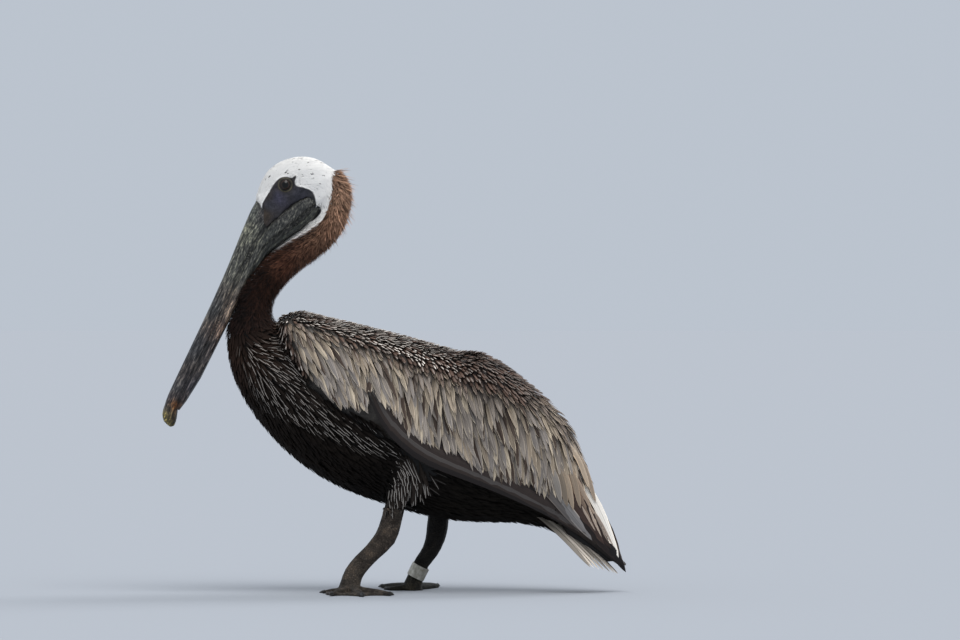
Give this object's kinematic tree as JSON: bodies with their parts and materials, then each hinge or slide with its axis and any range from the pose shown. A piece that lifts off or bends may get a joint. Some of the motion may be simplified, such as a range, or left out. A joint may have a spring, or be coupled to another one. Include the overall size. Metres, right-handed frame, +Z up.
{
  "type": "brown pelican model",
  "caption": "Life-size standing water bird with a lowered long bill and folded wings, as a still display model.",
  "frame": {"origin": "on the floor, under the middle of the bird's overall box", "axes": "+X towards the tail (the bird faces -X), +Y towards the bird's right side, +Z up"},
  "size_m": [0.6025, 0.3058, 0.5675],
  "materials": {
    "white_plumage": "soft short feathers",
    "brown_plumage": "soft hair-like feathers",
    "dark_plumage": "soft feathers",
    "silver_plumage": "smooth feathers",
    "grey_plumage": "smooth stiff feathers",
    "bill_horn": "weathered horn",
    "nail_horn": "polished horn",
    "pouch_skin": "wrinkled bare skin",
    "leg_skin": "scaly bare skin",
    "claw_horn": "polished horn",
    "eye": "wet",
    "metal_band": "dulled"
  },
  "bodies": {
    "root": {"head": "white_plumage", "eye_left": "eye", "eye_right": "eye", "bill_upper": "bill_horn", "bill_nail": "nail_horn", "bill_lower": "bill_horn", "pouch": "pouch_skin", "neck_upper": "brown_plumage", "neck_middle": "brown_plumage", "neck_lower": "brown_plumage", "trunk": "dark_plumage", "rump": "dark_plumage", "tail": "grey_plumage", "wing_left_shoulder": "silver_plumage", "wing_left_forearm": "silver_plumage", "wing_left_flight_feathers": "silver_plumage", "wing_right_shoulder": "silver_plumage", "wing_right_forearm": "silver_plumage", "wing_right_flight_feathers": "silver_plumage", "thigh_left": "dark_plumage", "shank_left": "leg_skin", "tarsus_left": "leg_skin", "foot_left": "leg_skin", "claw_left_1": "claw_horn", "claw_left_2": "claw_horn", "claw_left_3": "claw_horn", "claw_left_4": "claw_horn", "thigh_right": "dark_plumage", "shank_right": "leg_skin", "tarsus_right": "leg_skin", "foot_right": "leg_skin", "claw_right_1": "claw_horn", "claw_right_2": "claw_horn", "claw_right_3": "claw_horn", "claw_right_4": "claw_horn", "leg_band": "metal_band"}
  },
  "joints": []
}
